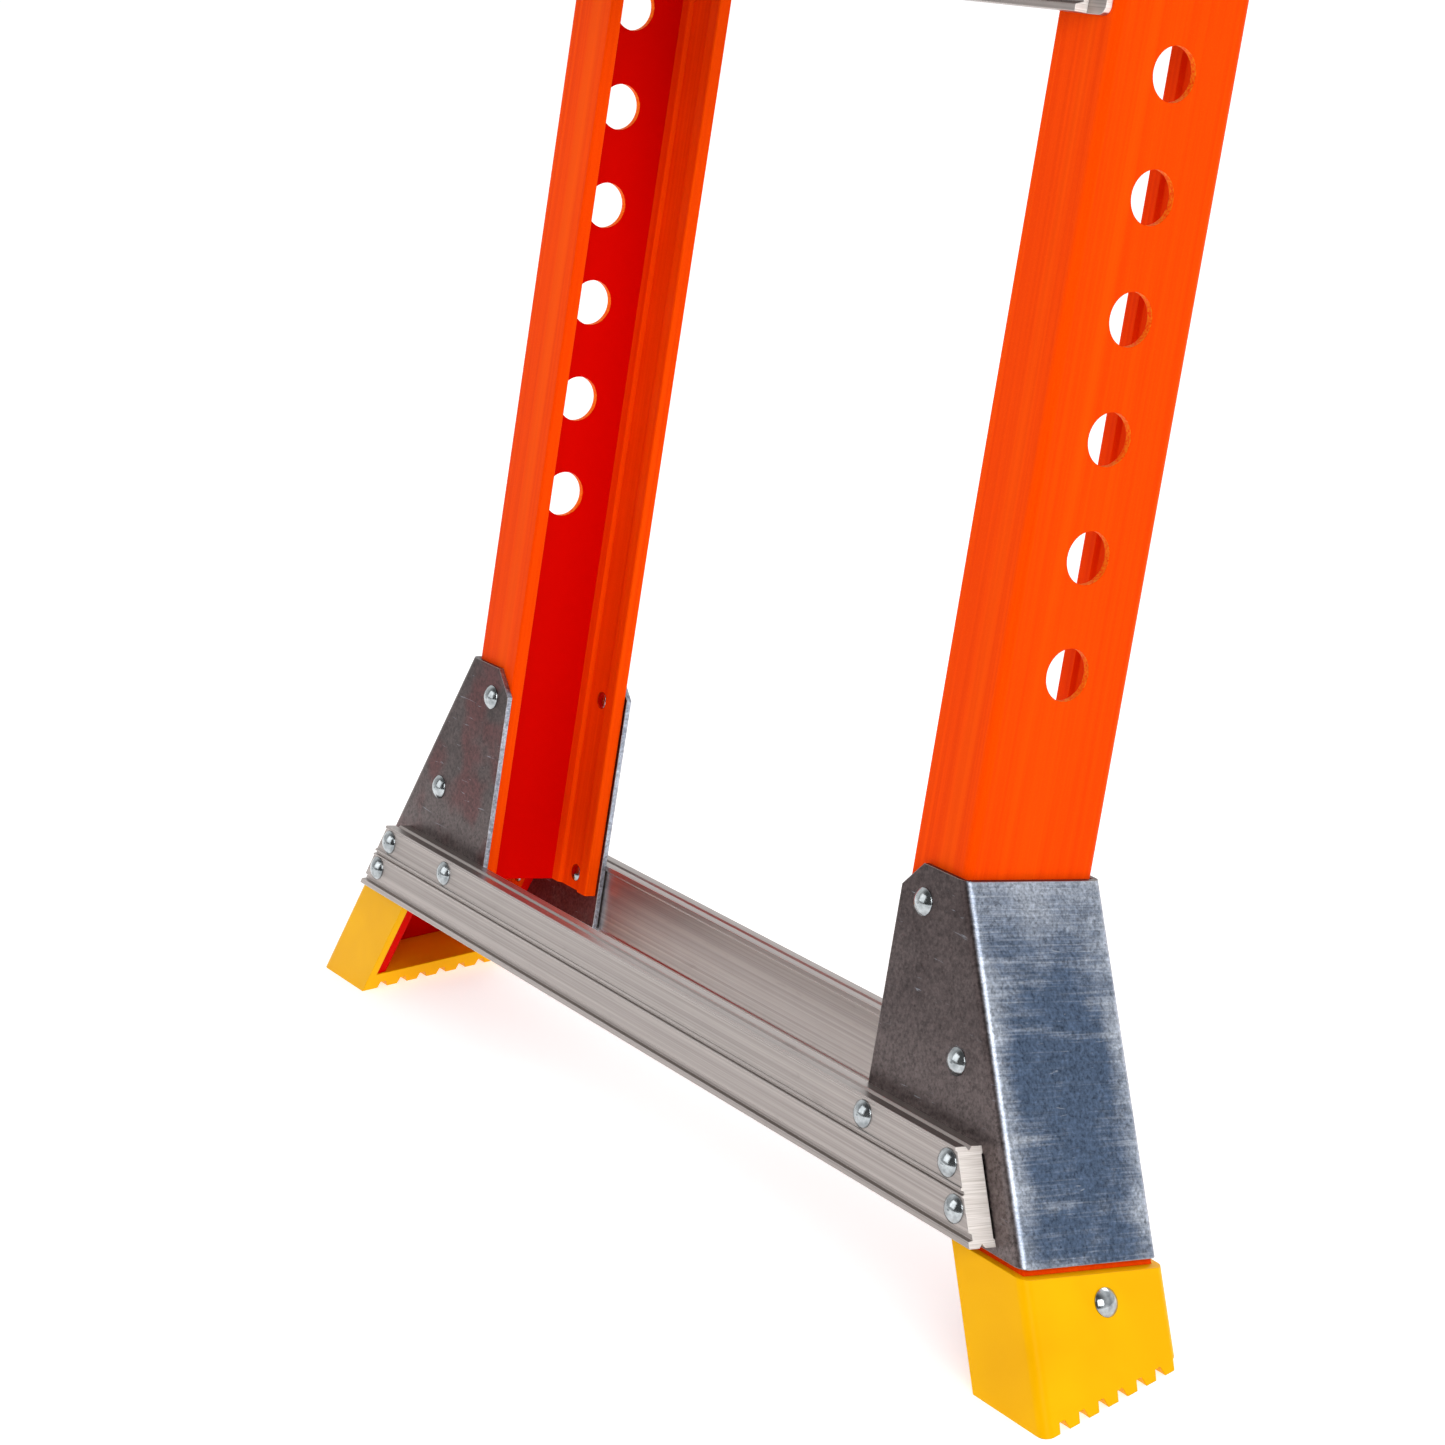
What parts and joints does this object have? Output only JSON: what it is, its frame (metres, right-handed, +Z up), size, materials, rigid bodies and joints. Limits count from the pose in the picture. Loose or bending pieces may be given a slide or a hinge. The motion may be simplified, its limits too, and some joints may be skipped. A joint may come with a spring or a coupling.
{
  "type": "extension ladder",
  "caption": "Leaning two-section fibreglass extension ladder with flared feet, front treads, a sliding fly section and spring lock bolts.",
  "frame": {"origin": "on the floor, at the centre of the ladder's footprint box as it leans at 75.5 degrees", "axes": "+Z up, +X across the ladder to the climber's right, +Y away from the climber towards the wall"},
  "size_m": [0.638, 0.8436, 3.0016],
  "materials": {
    "fibreglass": "pultruded glass fibre, satin",
    "galvanised_sheet": "hot-dip galvanised, spangled",
    "aluminium": "mill finish extrusion",
    "cast_aluminium": "cast, fine blasted",
    "yellow_plastic": "moulded, glossy",
    "black_plastic": "moulded, fine texture",
    "plated_rivet": "zinc plated, bright",
    "plated_steel": "zinc plated, turned"
  },
  "bodies": {
    "base_section": {"base_rail_left": "fibreglass", "base_rail_right": "fibreglass", "flare_stub_left": "fibreglass", "flare_stub_right": "fibreglass", "flare_bracket_left": "galvanised_sheet", "flare_bracket_right": "galvanised_sheet", "base_bar_front": "aluminium", "base_bar_back": "aluminium", "shoe_left": "yellow_plastic", "shoe_right": "yellow_plastic", "gusset_rivets_front": "plated_rivet", "gusset_rivets_back": "plated_rivet", "bar_rivets_front": "plated_rivet", "bar_rivets_back": "plated_rivet", "shoe_rivet_left": "plated_rivet", "shoe_rivet_right": "plated_rivet", "base_tread_1": "aluminium", "base_tread_2": "aluminium", "base_tread_3": "aluminium", "base_tread_4": "aluminium", "base_tread_5": "aluminium", "base_tread_6": "aluminium", "base_tread_7": "aluminium", "tread_end_plates_left": "aluminium", "tread_end_plates_right": "aluminium", "tread_rivets": "plated_rivet", "base_guide_left": "black_plastic", "base_guide_right": "black_plastic", "guide_screws_left": "plated_rivet", "guide_screws_right": "plated_rivet"},
    "fly_section": {"fly_rail_left": "fibreglass", "fly_rail_right": "fibreglass", "fly_rung_1": "aluminium", "fly_rung_2": "aluminium", "fly_rung_3": "aluminium", "fly_rung_4": "aluminium", "fly_rung_5": "aluminium", "fly_rung_6": "aluminium", "fly_rung_7": "aluminium", "fly_rung_8": "aluminium", "rung_collars_left": "aluminium", "rung_collars_right": "aluminium", "collar_rivets_left": "plated_rivet", "collar_rivets_right": "plated_rivet", "fly_glide_left": "black_plastic", "fly_glide_right": "black_plastic", "end_boot_left": "black_plastic", "end_boot_right": "black_plastic", "lock_housing_left": "cast_aluminium", "lock_housing_right": "cast_aluminium", "lock_cover_left": "cast_aluminium", "lock_cover_right": "cast_aluminium", "lock_screws_left": "plated_rivet", "lock_screws_right": "plated_rivet", "lock_spring_left": "plated_steel", "lock_spring_right": "plated_steel"},
    "left_lock_bolt": {"lock_bolt_left": "plated_steel", "lock_knob_left": "black_plastic"},
    "right_lock_bolt": {"lock_bolt_right": "plated_steel", "lock_knob_right": "black_plastic"}
  },
  "joints": [
    {"name": "fly_slide", "type": "slide", "parent": "base_section", "child": "fly_section", "axis": [0, 0.2504, 0.9681], "range_m": [-0.45, 0.75]},
    {"name": "left_lock_pull", "type": "slide", "parent": "fly_section", "child": "left_lock_bolt", "axis": [1, 0, 0], "range_m": [0, 0.008], "stiffness_N_per_m": 900, "springref_m": -0.01, "deforming": ["lock_spring_left"]},
    {"name": "right_lock_pull", "type": "slide", "parent": "fly_section", "child": "right_lock_bolt", "axis": [-1, 0, 0], "range_m": [0, 0.008], "stiffness_N_per_m": 900, "springref_m": -0.01, "deforming": ["lock_spring_right"]}
  ]
}
